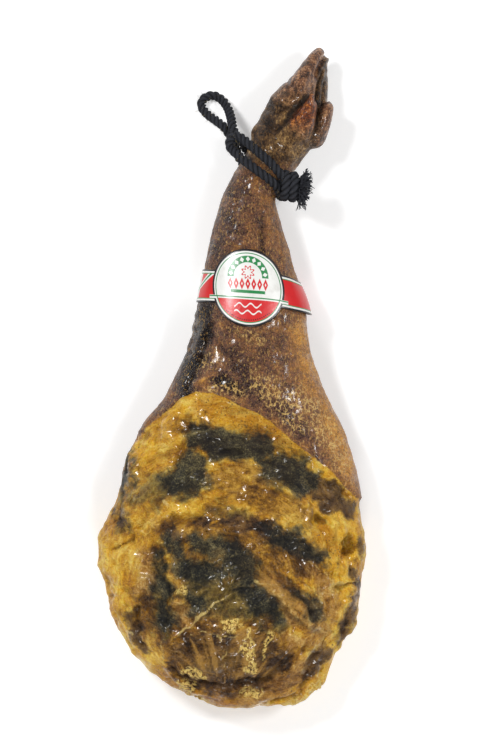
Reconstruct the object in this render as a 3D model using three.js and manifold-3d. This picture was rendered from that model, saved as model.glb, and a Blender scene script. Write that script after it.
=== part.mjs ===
// A dry-cured pork shoulder with its trotter, lying on its outer side with the cut face up.
// The ham is one natural piece. A black hanging rope is hitched round its wrist, and a paper
// sash with a round front is wrapped round its shank.
//
// Frame, in millimetres: +Y along the ham from the butt to the hooves, +X to the right when the
// cut face is seen from above with the hooves at the top, +Z up. The origin is on the surface that
// the ham lies on, under the centre of its box.
import * as THREE from "three";
import { mergeVertices } from "three/addons/utils/BufferGeometryUtils.js";
import Module from "manifold-3d";

const wasm = await Module();
wasm.setup();

// ---------------------------------------------------------------- driving dimensions

const LENGTH = 650; // butt to hoof tips
const WIDTH = 261; // across the widest part
const HEIGHT = 86; // from the surface up to the top of the cut face
const GAP = 0.35; // between pieces that touch
const SASH_GAP = 0.6; // under the sash, whose faces are flatter than the shank

const ROPE_DIAMETER = 9.4;
const ROPE_SIDES = 8;
const ROPE_STEPS = 76;

const SASH_HALF_HEIGHT = 16; // of the band round the shank
const SASH_THICK = 0.8;
const MEDAL_HALF_HEIGHT = 37.7; // of the round front
const MEDAL_HALF_WIDTH = 34.5; // straight across, as it bends with the shank
const MEDAL_X = 15.7;
const SASH_Y = 85.7; // of the band where it passes the medal's centre
const SASH_SLOPE = -0.07; // the band runs a little downhill towards the right
const SASH_FLARE = 3.5; // how far its lower edge stands off on the right

// ---------------------------------------------------------------- ribs of the ham

// Each rib is a cross-section: [left x, left y, right x, right y, underside z, top z]. Lengths are
// shares of LENGTH from the middle, widths of WIDTH from the middle, heights of HEIGHT, in percent.
const BODY_RIBS = [
  [2.3, -50, 2.3, -50, 42, 42],
  [-10, -49.2, 15.5, -49.5, 21, 61],
  [-20.5, -47.4, 27.8, -48.6, 6, 74],
  [-31.5, -44.4, 34.3, -46, -3, 83],
  [-39, -41, 37.6, -43.4, -8, 89],
  [-44.8, -37.1, 40.4, -40.6, -10, 93],
  [-47.8, -32.5, 46.8, -36.8, -11, 96.5],
  [-49.8, -26.5, 49.5, -30.6, -11, 99],
  [-47.8, -21.9, 49.8, -24.6, -11, 100],
  [-43.2, -17.1, 48.2, -18.5, -10, 100],
  [-40.5, -12.5, 45.8, -12.8, -9, 99],
  [-33.8, -7.7, 41.7, -7.7, -7, 97.5],
  [-25.6, -3.5, 36.4, -3.5, -4, 96],
  [-18.8, 1.9, 31.1, 1.9, 0, 93],
  [-15.4, 6.3, 28.4, 6.3, 3, 90],
  [-12.8, 11.6, 27, 11.6, 7, 86.5],
  [-9.8, 17.6, 22.5, 17.6, 11.5, 81.5],
  [-6.7, 23, 18.8, 22.7, 15, 76.5],
  [-3.4, 27.4, 16.1, 26.2, 17.5, 72],
  [0.4, 30.6, 16.9, 27.9, 17.5, 70.5],
  [4.5, 33.1, 19.9, 29.5, 17.5, 70],
  [6.7, 35.2, 24.8, 31.8, 16.5, 72],
  [8.6, 37.5, 29.2, 34.2, 15.5, 74],
  [11.6, 39.9, 31.9, 36.4, 15.5, 73],
  [14.6, 42.2, 32.6, 39, 16.5, 68],
  [18.5, 43.2, 31, 41.2, 22, 60],
  [25.5, 42.6, 25.5, 42.6, 41.5, 41.5],
];
const NEAR_CLAW = [
  [21.5, 39.3, 21.5, 39.3, 49, 49],
  [13.9, 41.3, 27.4, 39, 33, 70],
  [16.1, 42.9, 29.3, 41, 31.5, 71],
  [21.8, 45, 30.4, 43.5, 31.5, 68],
  [26.3, 47.3, 31.5, 46.1, 30.5, 60],
  [30, 49.2, 34.2, 48.4, 29.5, 49],
  [31.9, 49.9, 34.9, 49.3, 29.5, 41.5],
  [33.4, 50, 33.4, 50, 35, 35],
];
const FAR_CLAW = [
  [27.8, 39, 27.8, 39, 33, 33],
  [22.2, 40.5, 34.2, 39.9, 14, 51],
  [25.2, 42.3, 36, 41.7, 12, 50],
  [28.2, 44.7, 36.4, 44.3, 12, 47],
  [31.2, 47, 36.2, 46.7, 12, 40.5],
  [33, 48.5, 35.9, 48.4, 14, 33],
  [34.9, 49.2, 34.9, 49.2, 23, 23],
];
const NEAR_DEWCLAW = [
  [22.9, 35.4, 22.9, 35.4, 56, 56],
  [18.8, 37.7, 28.2, 34.9, 47, 74],
  [22.2, 39.2, 30.8, 37.5, 49, 81],
  [25.5, 40.4, 31.7, 39.6, 53.5, 81],
  [28.2, 41.5, 31.7, 41.1, 58, 76.5],
  [30.2, 42.1, 30.2, 42.1, 66.5, 66.5],
];
const FAR_DEWCLAW = [
  [28.9, 34.2, 28.9, 34.2, 43.5, 43.5],
  [26.7, 36.3, 33.8, 34.8, 33, 60],
  [30.4, 38.1, 36.4, 37, 33, 60],
  [32.3, 40.1, 37.9, 39.5, 35, 60],
  [34.2, 41.1, 38.1, 40.8, 38, 56],
  [36.8, 41.7, 36.8, 41.7, 47, 47],
];
const BODY_SQUARENESS = 2.12; // 2 is an ellipse, and more fills the section's corners
const CLAW_SQUARENESS = 2;

// ---------------------------------------------------------------- the rope's route

// From the knot over the top of the wrist, back through a bight, round underneath, out into the
// hanging loop that droops to the surface, and round underneath again to the knot.
const ROPE_ROUTE = [
  [53, 190.5, 60],
  [48.5, 195, 64],
  [42.5, 201.5, 66.5],
  [36, 208.5, 66.5],
  [26.5, 217, 65],
  [17.5, 225, 62],
  [11, 231, 58],
  [4.5, 234.5, 55],
  [-0.5, 232, 53],
  [-2.5, 226, 51.5],
  [1, 220.5, 52.5],
  [7.5, 214.2, 58.5],
  [15.3, 207, 63.5],
  [24, 200.2, 66],
  [34, 192.8, 65.5],
  [42.6, 185.8, 60],
  [46.5, 180, 50],
  [48.5, 177, 38],
  [46.5, 180.2, 24.7],
  [39.6, 188.7, 13.6],
  [29, 197.5, 10],
  [18.3, 205.4, 12.3],
  [9.8, 212.1, 18.4],
  [5, 221, 24],
  [1.5, 230.5, 28],
  [-3.5, 240, 27.5],
  [-8.5, 247, 26.5],
  [-16, 253.5, 21],
  [-25, 261, 13.5],
  [-30.5, 269.5, 8],
  [-28.5, 277, 5.5],
  [-20, 280.5, 5],
  [-11, 276.5, 6.5],
  [-4.5, 267, 13],
  [-1, 255, 26],
  [1, 243.5, 37.5],
  [5.5, 234.5, 38.5],
  [11.5, 227.5, 30.5],
  [16.2, 222.4, 19.2],
  [26, 214.8, 11],
  [37, 207.5, 8.8],
  [48.1, 200.5, 13.4],
  [57.2, 195.4, 23.5],
  [59.2, 192.1, 34],
  [57.5, 188.5, 44],
];

// The knot's own frame: its axis points out of the wrist to the right.
const KNOT_CENTRE = new THREE.Vector3(56.5, 185.2, 56.5);
const KNOT_AXIS = new THREE.Vector3(0.985, -0.17, 0).normalize();
const KNOT_LENGTH = 19;
const KNOT_RADIUS = 14.5;
const TUFT_LENGTH = 11;
const TUFT_RADIUS = 18;

// ---------------------------------------------------------------- tools

// Two splines carry the ribs: one their left ends and undersides, one their right ends and tops.
function splinesOf(ribs) {
  const at = (x, y, z) => new THREE.Vector3((x * WIDTH) / 100, (y * LENGTH) / 100, (z * HEIGHT) / 100);
  const left = ribs.map(([x, y, , , low]) => at(x, y, low));
  const right = ribs.map(([, , x, y, , top]) => at(x, y, top));
  return {
    left: new THREE.CatmullRomCurve3(left, false, "catmullrom", 0.5),
    right: new THREE.CatmullRomCurve3(right, false, "catmullrom", 0.5),
  };
}

// The point at a share of the way along the ribs and an angle round them, 0 at the right edge and a
// quarter turn at the top. The section is a superellipse between the two splines.
function onSkin({ left, right }, share, angle, squareness) {
  const l = left.getPoint(share);
  const r = right.getPoint(share);
  const bulge = (v) => Math.sign(v) * Math.abs(v) ** (2 / squareness);
  const across = bulge(Math.cos(angle));
  const up = bulge(Math.sin(angle));
  return new THREE.Vector3(
    (l.x + r.x) / 2 + ((r.x - l.x) / 2) * across,
    (l.y + r.y) / 2 + ((r.y - l.y) / 2) * across,
    (l.z + r.z) / 2 + ((r.z - l.z) / 2) * up,
  );
}

// A closed skin over the ribs. It starts as a sphere, whose meridians become the lines along the
// ribs and whose parallels become the sections.
function skinOver(ribs, along, around, squareness) {
  const splines = splinesOf(ribs);
  const ball = new THREE.SphereGeometry(1, around, along);
  const places = ball.attributes.position;
  for (let row = 0; row <= along; row++) {
    for (let column = 0; column <= around; column++) {
      const angle = (2 * Math.PI * (column % around)) / around;
      const point = onSkin(splines, row / along, angle, squareness);
      places.setXYZ(row * (around + 1) + column, point.x, point.y, point.z);
    }
  }
  return ball;
}

function solidOf(geometry) {
  const bare = geometry.clone();
  bare.deleteAttribute("normal");
  bare.deleteAttribute("uv");
  const merged = mergeVertices(bare, 1e-3);
  const solid = new wasm.Manifold(
    new wasm.Mesh({
      numProp: 3,
      vertProperties: merged.attributes.position.array,
      triVerts: new Uint32Array(merged.index.array),
    }),
  );
  if (solid.volume() > 0) return solid;
  const turned = merged.index.array.slice().reverse();
  return new wasm.Manifold(
    new wasm.Mesh({
      numProp: 3,
      vertProperties: merged.attributes.position.array,
      triVerts: new Uint32Array(turned),
    }),
  );
}

function geometryOf(solid) {
  const { numProp, vertProperties, triVerts } = solid.getMesh();
  const count = vertProperties.length / numProp;
  const places = new Float32Array(count * 3);
  for (let i = 0; i < count; i++) {
    places.set(vertProperties.subarray(i * numProp, i * numProp + 3), i * 3);
  }
  const geometry = new THREE.BufferGeometry();
  geometry.setAttribute("position", new THREE.BufferAttribute(places, 3));
  geometry.setIndex(new THREE.BufferAttribute(triVerts, 1));
  geometry.computeVertexNormals();
  return geometry;
}

function named(name, geometry, color, roughness) {
  const material = new THREE.MeshStandardMaterial({ color, roughness, metalness: 0 });
  const mesh = new THREE.Mesh(geometry, material);
  mesh.name = name;
  return mesh;
}

// ---------------------------------------------------------------- the ham

// The body, its two main claws and its two dewclaws grew as one piece. What would sink below the
// surface is cut off, which leaves the flat that the ham lies on.
function ham() {
  const pieces = [
    skinOver(BODY_RIBS, 52, 40, BODY_SQUARENESS),
    skinOver(NEAR_CLAW, 14, 16, CLAW_SQUARENESS),
    skinOver(FAR_CLAW, 12, 16, CLAW_SQUARENESS),
    skinOver(NEAR_DEWCLAW, 10, 14, CLAW_SQUARENESS),
    skinOver(FAR_DEWCLAW, 10, 14, CLAW_SQUARENESS),
  ].map(solidOf);
  const grown = pieces.reduce((all, piece) => all.add(piece));
  const below = new THREE.BoxGeometry(2 * WIDTH, 2 * LENGTH, HEIGHT).translate(0, 0, -HEIGHT / 2);
  return geometryOf(grown.subtract(solidOf(below)));
}

// ---------------------------------------------------------------- the paper sash

// How far along the body's ribs the shank reaches a given y, found by halving.
function shareAt(splines, y) {
  let low = 0.45;
  let high = 0.68;
  for (let i = 0; i < 30; i++) {
    const middle = (low + high) / 2;
    if ((splines.left.getPoint(middle).y + splines.right.getPoint(middle).y) / 2 < y) low = middle;
    else high = middle;
  }
  return (low + high) / 2;
}

// The band and the round front are one cut of paper: at each angle round the shank its height is
// the band's, or the circle's where that is taller. It is a grid round the shank, with an inner and
// an outer face.
function sash() {
  const around = 64;
  const across = 6;
  const splines = splinesOf(BODY_RIBS);
  const ring = new THREE.TorusGeometry(1, 0.5, 2 * across + 2, around);
  const places = ring.attributes.position;
  const loop = 2 * across + 2; // the places round the paper's own section
  const middleShare = shareAt(splines, SASH_Y);
  for (let j = 0; j <= loop; j++) {
    const k = j % loop;
    const outside = k <= across;
    const level = outside ? k / across : (loop - 1 - k) / across;
    for (let i = 0; i <= around; i++) {
      const angle = (2 * Math.PI * (i % around)) / around;
      const aside = onSkin(splines, middleShare, angle, BODY_SQUARENESS).x - MEDAL_X;
      const sagitta = Math.max(0, 1 - (aside / MEDAL_HALF_WIDTH) ** 2);
      const medal = Math.sin(angle) > 0 ? MEDAL_HALF_HEIGHT * Math.sqrt(sagitta) : 0;
      const half = Math.max(SASH_HALF_HEIGHT, medal);
      const y = SASH_Y + SASH_SLOPE * aside + half * (2 * level - 1);
      const share = shareAt(splines, y);
      const skin = onSkin(splines, share, angle, BODY_SQUARENESS);
      const centre = onSkin(splines, share, 0, BODY_SQUARENESS)
        .add(onSkin(splines, share, Math.PI, BODY_SQUARENESS))
        .multiplyScalar(0.5);
      const out = new THREE.Vector3(skin.x - centre.x, 0, skin.z - centre.z).normalize();
      const loose = Math.max(0, Math.cos(angle)) ** 4 * (1 - level) * SASH_FLARE;
      const off = SASH_GAP + loose + (outside ? SASH_THICK : 0);
      places.setXYZ(j * (around + 1) + i, skin.x + out.x * off, skin.y, skin.z + out.z * off);
    }
  }
  return geometryOf(solidOf(ring));
}

// ---------------------------------------------------------------- the rope

function tube(route, radius) {
  const curve = new THREE.CatmullRomCurve3(route.map(([x, y, z]) => new THREE.Vector3(x, y, z)));
  const section = new THREE.Shape().absarc(0, 0, radius, 0, 2 * Math.PI);
  return new THREE.ExtrudeGeometry(section, {
    steps: ROPE_STEPS,
    curveSegments: ROPE_SIDES,
    extrudePath: curve,
  });
}

// A lathe about the knot's axis. Its profile runs from the wrist outwards.
function aboutKnotAxis(profile, start) {
  const turn = new THREE.Quaternion().setFromUnitVectors(new THREE.Vector3(0, 1, 0), KNOT_AXIS);
  const from = KNOT_CENTRE.clone().addScaledVector(KNOT_AXIS, start);
  return new THREE.LatheGeometry(profile, 16).applyQuaternion(turn).translate(from.x, from.y, from.z);
}

function knot() {
  const arc = Array.from({ length: 9 }, (_, i) => {
    const angle = (Math.PI * i) / 8 - Math.PI / 2;
    return new THREE.Vector2(
      i === 0 || i === 8 ? 0 : KNOT_RADIUS * Math.cos(angle) ** 0.6,
      (KNOT_LENGTH / 2) * Math.sin(angle),
    );
  });
  // The strands run into it, so it has sockets for them.
  const sockets = solidOf(tube(ROPE_ROUTE, ROPE_DIAMETER / 2 + GAP));
  return geometryOf(solidOf(aboutKnotAxis(arc, 0)).subtract(sockets));
}

function tuft() {
  const root = KNOT_RADIUS * 0.55;
  const profile = [
    new THREE.Vector2(0, 0),
    new THREE.Vector2(root, 0),
    new THREE.Vector2(TUFT_RADIUS, TUFT_LENGTH * 0.6),
    new THREE.Vector2(TUFT_RADIUS * 0.7, TUFT_LENGTH),
    new THREE.Vector2(0, TUFT_LENGTH),
  ];
  return aboutKnotAxis(profile, KNOT_LENGTH / 2 + GAP);
}

// ---------------------------------------------------------------- the object

const object = new THREE.Group();
object.add(
  named("ham", ham(), 0x9a6a2c, 0.4),
  named("paper_sash", sash(), 0xd9322b, 0.5),
  named("rope", tube(ROPE_ROUTE, ROPE_DIAMETER / 2), 0x17181b, 0.9),
  named("rope_knot", knot(), 0x17181b, 0.9),
  named("rope_tuft", tuft(), 0x101113, 0.95),
);
export default object;
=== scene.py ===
"""A dry-cured pork shoulder with its trotter, lying on its outer side, with a black hanging rope
hitched round its wrist and a paper sash with a round front round its shank.

The ham is one skin: ribs carried along the body, the claws and the dewclaws are grown together,
then folded, creased and coloured by fields that are worked out for every point. Routes, outlines and
patches are in millimetres in the frame's own axes: +Y towards the hooves, +X to the right seen from
above, +Z up from the surface that the ham lies on.
"""
import itertools
import math

import bpy
import numpy as np
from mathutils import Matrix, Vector


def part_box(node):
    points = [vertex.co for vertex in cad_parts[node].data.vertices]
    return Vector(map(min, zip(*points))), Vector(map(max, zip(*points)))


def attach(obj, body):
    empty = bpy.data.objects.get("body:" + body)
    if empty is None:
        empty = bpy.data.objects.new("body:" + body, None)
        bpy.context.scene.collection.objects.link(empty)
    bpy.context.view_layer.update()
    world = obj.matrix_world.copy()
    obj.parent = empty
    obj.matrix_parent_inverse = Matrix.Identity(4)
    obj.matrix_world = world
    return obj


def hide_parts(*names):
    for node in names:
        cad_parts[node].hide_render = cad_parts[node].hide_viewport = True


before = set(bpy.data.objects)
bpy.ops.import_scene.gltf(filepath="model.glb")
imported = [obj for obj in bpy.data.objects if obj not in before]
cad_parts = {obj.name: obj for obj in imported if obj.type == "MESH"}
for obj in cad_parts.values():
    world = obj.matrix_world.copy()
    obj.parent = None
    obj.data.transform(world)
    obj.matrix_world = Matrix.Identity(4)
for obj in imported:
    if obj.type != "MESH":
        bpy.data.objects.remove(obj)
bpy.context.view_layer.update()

MM = 0.001


# ---------------------------------------------------------------- shapes worked out with numpy


def smooth(low, high, value):
    """0 below low, 1 above high, and a smooth step between them."""
    share = np.clip((value - low) / (high - low), 0, 1)
    return share * share * (3 - 2 * share)


def spline(points, shares):
    """Points on a smooth curve through the given points, at shares of the way along them. Each
    stretch is the cubic whose slope at a point is half the step between its two neighbours."""
    points = np.asarray(points, float)
    padded = np.vstack([2 * points[:1] - points[1:2], points, 2 * points[-1:] - points[-2:-1]])
    place = np.asarray(shares, float) * (len(points) - 1)
    first = np.clip(np.floor(place).astype(int), 0, len(points) - 2)
    t = (place - first)[..., None]
    a, b, c, d = (padded[first + k] for k in range(4))
    return 0.5 * (2 * b + (c - a) * t + (2 * a - 5 * b + 4 * c - d) * t**2 + (3 * b - a - 3 * c + d) * t**3)


def noise(points, seed):
    """Smooth noise from -1 to 1: a number at each corner of a unit lattice, hashed from the corner
    and the seed, and mixed with its neighbours by a fading weight along each axis."""
    cell = np.floor(points).astype(np.int64)
    part = points - cell
    fade = part**3 * (part * (part * 6 - 15) + 10)
    total = np.zeros(len(points))
    for corner in itertools.product((0, 1), repeat=3):
        at = (cell + corner) * np.array([73856093, 19349663, 83492791])
        mixed = (at[:, 0] ^ at[:, 1] ^ at[:, 2] ^ (seed * 2654435761)) & 0xFFFFFFFF
        mixed = ((mixed ^ (mixed >> 15)) * 0x2C1B3C6D) & 0xFFFFFFFF
        mixed = ((mixed ^ (mixed >> 12)) * 0x297A2D39) & 0xFFFFFFFF
        weight = np.prod(np.where(corner, fade, 1 - fade), axis=1)
        total += weight * ((mixed >> 8) / 8388607.5 - 1)
    return total


def layers(points, size, count, seed):
    """Noise whose widest waves are as wide as size, with count layers, each half as wide and half
    as strong as the last."""
    return sum(noise(points * (2**k / size), seed + k) / 2**k for k in range(count))


def stroke(plan, route):
    """How far each place in the plan is inside a brush stroke, in millimetres, and negative outside
    it. The route's points are (x, y, radius), and the radius changes evenly between them."""
    best = np.full(len(plan), -1e3)
    route = np.asarray(route, float)
    if len(route) == 1:
        return route[0, 2] - np.linalg.norm(plan - route[0, :2], axis=1)
    for (ax, ay, ar), (bx, by, br) in zip(route[:-1], route[1:]):
        line = np.array([bx - ax, by - ay])
        share = np.clip(((plan - (ax, ay)) @ line) / (line @ line), 0, 1)
        away = np.linalg.norm(plan - (ax, ay) - share[:, None] * line, axis=1)
        best = np.maximum(best, ar + (br - ar) * share - away)
    return best


def strokes(plan, routes):
    """The most that each place is inside any of several strokes."""
    return np.max([stroke(plan, route) for route in routes], axis=0)


def grid_faces(rows, columns, wrap_rows=False, wrap_columns=False):
    """The four-cornered faces of a grid of points, which may close on itself either way."""
    i, j = np.meshgrid(
        np.arange(rows if wrap_rows else rows - 1),
        np.arange(columns if wrap_columns else columns - 1),
        indexing="ij",
    )
    i, j = i.ravel(), j.ravel()
    row, next_row = i * columns, (i + 1) % rows * columns
    beside = (j + 1) % columns
    return np.stack([row + j, row + beside, next_row + beside, next_row + j], axis=1)


def mesh_of(name, points, faces):
    """A mesh from an array of points in millimetres and an array of faces."""
    mesh = bpy.data.meshes.new(name)
    mesh.from_pydata((np.asarray(points).reshape(-1, 3) * MM).tolist(), [], list(faces))
    mesh.update()
    return mesh


def piece(name, mesh, material, slot, *nodes):
    """An object of a mesh, smooth, on the one body, with its finish and the CAD nodes it replaces."""
    thing = bpy.data.objects.new(name, mesh)
    bpy.context.scene.collection.objects.link(thing)
    mesh.shade_smooth()
    mesh.materials.clear()
    mesh.materials.append(material)
    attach(thing, "root")
    if nodes:
        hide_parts(*nodes)
    return thing


def add_field(mesh, name, values):
    """Stores one number for each point of a mesh, for its material to read."""
    layer = mesh.attributes.new(name, "FLOAT", "POINT")
    layer.data.foreach_set("value", np.asarray(values, np.float32))


def add_uv(mesh, per_point):
    """A UV map from a (u, v) for each point."""
    corners = np.empty(len(mesh.loops), np.int64)
    mesh.loops.foreach_get("vertex_index", corners)
    layer = mesh.uv_layers.new(name="pattern")
    layer.data.foreach_set("uv", np.asarray(per_point, np.float32)[corners].ravel())


# ---------------------------------------------------------------- materials


def paint(red, green, blue):
    """A colour given as it looks on a screen, from 0 to 255, as the linear colour that nodes mix."""
    shares = [value / 255 for value in (red, green, blue)]
    linear = [v / 12.92 if v <= 0.04045 else ((v + 0.055) / 1.055) ** 2.4 for v in shares]
    return (*linear, 1)


class Wire:
    """The output of a node. Arithmetic on wires adds the Math nodes that do it."""

    def __init__(self, maker, socket):
        self.maker = maker
        self.socket = socket

    def math(self, operation, *others):
        return self.maker.node("Math", {"operation": operation}, dict(enumerate((self, *others))))

    def __add__(self, other):
        return self.math("ADD", other)

    def __sub__(self, other):
        return self.math("SUBTRACT", other)

    def __mul__(self, other):
        return self.math("MULTIPLY", other)

    def __truediv__(self, other):
        return self.math("DIVIDE", other)

    def __pow__(self, other):
        return self.math("POWER", other)

    def __abs__(self):
        return self.math("ABSOLUTE")

    def __rsub__(self, other):
        return self.maker.node("Math", {"operation": "SUBTRACT"}, {0: other, 1: self})

    __radd__ = __add__


class Maker:
    """Builds one material's nodes and joins them to its shader."""

    def __init__(self, name):
        self.material = bpy.data.materials.new(name)
        self.material.use_nodes = True
        self.tree = self.material.node_tree
        self.shader = self.tree.nodes["Principled BSDF"]

    def node(self, kind, settings, sockets, out=0):
        """Adds a node of a kind, sets its settings and then its sockets, and gives one output."""
        made = self.tree.nodes.new("ShaderNode" + kind)
        for key, value in settings.items():
            if key == "stops":
                stops = made.color_ramp.elements
                while len(stops) < len(value):
                    stops.new(0.5)
                for stop, (place, colour) in zip(stops, value):
                    stop.position, stop.color = place, colour
            else:
                setattr(made, key, value)
        for key, value in sockets.items():
            if isinstance(value, Wire):
                self.tree.links.new(value.socket, made.inputs[key])
            else:
                made.inputs[key].default_value = value
        return Wire(self, made.outputs[out])

    def place(self):
        """Where a point is, in the object's own metres."""
        return self.node("TexCoord", {}, {}, "Object")

    def field(self, name):
        """The number that each point of the mesh holds under a name."""
        return self.node("Attribute", {"attribute_name": name}, {}, "Fac")

    def grain(self, place, size, detail=2.0, rough=0.55, twist=0.0, out="Fac"):
        """Noise from 0 to 1 with waves about as wide as size in millimetres."""
        sockets = {"Vector": place, "Scale": 1 / (size * MM), "Detail": detail, "Roughness": rough}
        return self.node("TexNoise", {}, sockets | {"Distortion": twist}, out)

    def cells(self, place, size, feature="F1"):
        """The distance to the nearest of scattered points about size millimetres apart, or to the
        edge of the cell round it."""
        sockets = {"Vector": place, "Scale": 1 / (size * MM)}
        return self.node("TexVoronoi", {"feature": feature}, sockets, "Distance")

    def step(self, low, high, value):
        """0 below low, 1 above high, smooth between them."""
        settings = {"interpolation_type": "SMOOTHSTEP"}
        return self.node("MapRange", settings, {"Value": value, "From Min": low, "From Max": high})

    def ramp(self, value, *stops):
        """A colour by a value. Each stop is the value's place, then the colour as paint takes it."""
        stops = [(place, paint(*colour)) for place, *colour in stops]
        return self.node("ValToRGB", {"stops": stops}, {"Fac": value})

    def blend(self, share, first, second, how="MIX"):
        """A colour a share of the way from the first to the second, or joined in another way."""
        settings = {"data_type": "RGBA", "blend_type": how}
        return self.node("Mix", settings, {"Factor": share, 6: first, 7: second}, 2)

    def scaled(self, place, factors):
        """The places drawn out along each axis, so that what reads them is stretched."""
        return self.node("VectorMath", {"operation": "MULTIPLY"}, {0: place, 1: factors})

    def shifted(self, place, wire, reach):
        """The places pushed about by a colour's channels, by up to reach millimetres."""
        centred = self.node("VectorMath", {"operation": "SUBTRACT"}, {0: wire, 1: (0.5, 0.5, 0.5)})
        pushed = self.node("VectorMath", {"operation": "SCALE"}, {0: centred, "Scale": 2 * reach * MM})
        return self.node("VectorMath", {"operation": "ADD"}, {0: place, 1: pushed})

    def bump(self, height):
        """A normal from a height in millimetres."""
        return self.node("Bump", {}, {"Height": height, "Distance": MM, "Strength": 1.0}, "Normal")

    def finish(self, **sockets):
        """Sets the shader's sockets, named with underscores for spaces, and gives the material."""
        for key, value in sockets.items():
            target = self.shader.inputs[key.replace("_", " ")]
            if isinstance(value, Wire):
                self.tree.links.new(value.socket, target)
            else:
                target.default_value = value
        return self.material


# ---------------------------------------------------------------- camera, lights and floor


def add_camera():
    """A long lens that looks straight down on the cut face, with the hooves at the top."""
    lens, sensor = 100.0, 36.0
    across = 0.735  # the height of the view, in metres, at the level of the ham's middle
    aside, ahead = 0.0175, 0.0015  # from the ham's middle to the view's
    low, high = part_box("ham")
    middle = (low + high) / 2
    camera = bpy.data.objects.new("camera", bpy.data.cameras.new("camera"))
    camera.data.lens = lens
    camera.data.sensor_width = sensor
    camera.location = (middle.x + aside, middle.y + ahead, middle.z + across * lens / sensor)
    bpy.context.scene.collection.objects.link(camera)
    bpy.context.scene.camera = camera


def add_lamp(name, place, size, watts):
    """A square soft lamp that faces the place where the ham lies."""
    lamp = bpy.data.objects.new(name, bpy.data.lights.new(name, "AREA"))
    lamp.data.size = size
    lamp.data.energy = watts
    lamp.location = place
    lamp.rotation_euler = Vector(place).to_track_quat("Z", "Y").to_euler()
    bpy.context.scene.collection.objects.link(lamp)


def add_studio():
    """Soft daylight all round, a strong lamp up on the left, a weaker one on the right, a weak one
    beyond the butt, and a pale floor."""
    world = bpy.data.worlds.new("studio")
    world.use_nodes = True
    world.node_tree.nodes["Background"].inputs["Color"].default_value = (1, 1, 1, 1)
    world.node_tree.nodes["Background"].inputs["Strength"].default_value = 0.22
    bpy.context.scene.world = world
    bpy.context.scene.view_settings.view_transform = "Standard"
    add_lamp("key_lamp", (-0.8, 0.7, 1.5), 0.35, 20)
    add_lamp("fill_lamp", (0.9, 0.2, 1.3), 0.3, 9.5)
    add_lamp("butt_lamp", (0.1, -1.1, 1.0), 0.3, 5)
    reach = 3
    corners = [(-reach, -reach, 0), (reach, -reach, 0), (reach, reach, 0), (-reach, reach, 0)]
    floor = bpy.data.objects.new("floor", bpy.data.meshes.new("floor"))
    floor.data.from_pydata(corners, [], [(0, 1, 2, 3)])
    floor.data.materials.append(Maker("pale_floor").finish(
        Base_Color=(0.8, 0.8, 0.8, 1), Roughness=0.9, Emission_Color=(1, 1, 1, 1), Emission_Strength=0.35,
    ))
    bpy.context.scene.collection.objects.link(floor)


# ---------------------------------------------------------------- the rope

ROPE_DIAMETER = 9.4
ROPE_LAY = 17.5  # along the rope for one full turn of its strands
YARN_LAY = 5.5  # along the rope for one ripple of a strand's yarns
ROPE_STRANDS = 3
ROPE_STEP = 0.9  # along the rope between two rings of its points

# From the knot over the wrist, back through a bight, round underneath, out into the hanging loop
# that droops to the surface, and round underneath again to the knot.
ROPE_ROUTE = [
    (53, 190.5, 60), (48.5, 195, 64), (42.5, 201.5, 66.5), (36, 208.5, 66.5), (26.5, 217, 65),
    (17.5, 225, 62), (11, 231, 58), (4.5, 234.5, 55), (-0.5, 232, 53), (-2.5, 226, 51.5),
    (1, 220.5, 52.5), (7.5, 214.2, 58.5), (15.3, 207, 63.5), (24, 200.2, 66), (34, 192.8, 65.5),
    (42.6, 185.8, 60), (46.5, 180, 50), (48.5, 177, 38), (46.5, 180.2, 24.7), (39.6, 188.7, 13.6),
    (29, 197.5, 10), (18.3, 205.4, 12.3), (9.8, 212.1, 18.4), (5, 221, 24), (1.5, 230.5, 28),
    (-3.5, 240, 27.5), (-8.5, 247, 26.5), (-16, 253.5, 21), (-25, 261, 13.5), (-30.5, 269.5, 8),
    (-28.5, 277, 5.5), (-20, 280.5, 5), (-11, 276.5, 6.5), (-4.5, 267, 13), (-1, 255, 26),
    (1, 243.5, 37.5), (5.5, 234.5, 38.5), (11.5, 227.5, 30.5), (16.2, 222.4, 19.2), (26, 214.8, 11),
    (37, 207.5, 8.8), (48.1, 200.5, 13.4), (57.2, 195.4, 23.5), (59.2, 192.1, 34), (57.5, 188.5, 44),
]

KNOT_CENTRE = np.array([56.5, 185.2, 56.5])
KNOT_AXIS = np.array([0.985, -0.17, 0.0])
KNOT_TURNS = 2.3
KNOT_COIL = 10.8  # from the knot's axis to the middle of a turn
KNOT_LENGTH = 17.5  # from the first turn to the last


def evenly(points, step):
    """The points of a smooth curve through a route, about step apart all along."""
    fine = spline(points, np.linspace(0, 1, 40 * len(points)))
    run = np.concatenate([[0], np.cumsum(np.linalg.norm(np.diff(fine, axis=0), axis=1))])
    wanted = np.linspace(0, run[-1], int(run[-1] / step) + 1)
    return np.stack([np.interp(wanted, run, fine[:, k]) for k in range(3)], axis=1)


def frames_along(path):
    """Two directions across a path at each of its points, carried along it without twisting."""
    along = np.gradient(path, axis=0)
    along /= np.linalg.norm(along, axis=1)[:, None]
    side = np.cross(along[0], (0, 0, 1) if abs(along[0][2]) < 0.9 else (1, 0, 0))
    sides = []
    for direction in along:
        side = side - direction * (side @ direction)
        side = side / np.linalg.norm(side)
        sides.append(side)
    sides = np.array(sides)
    return sides, np.cross(along, sides)


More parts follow.
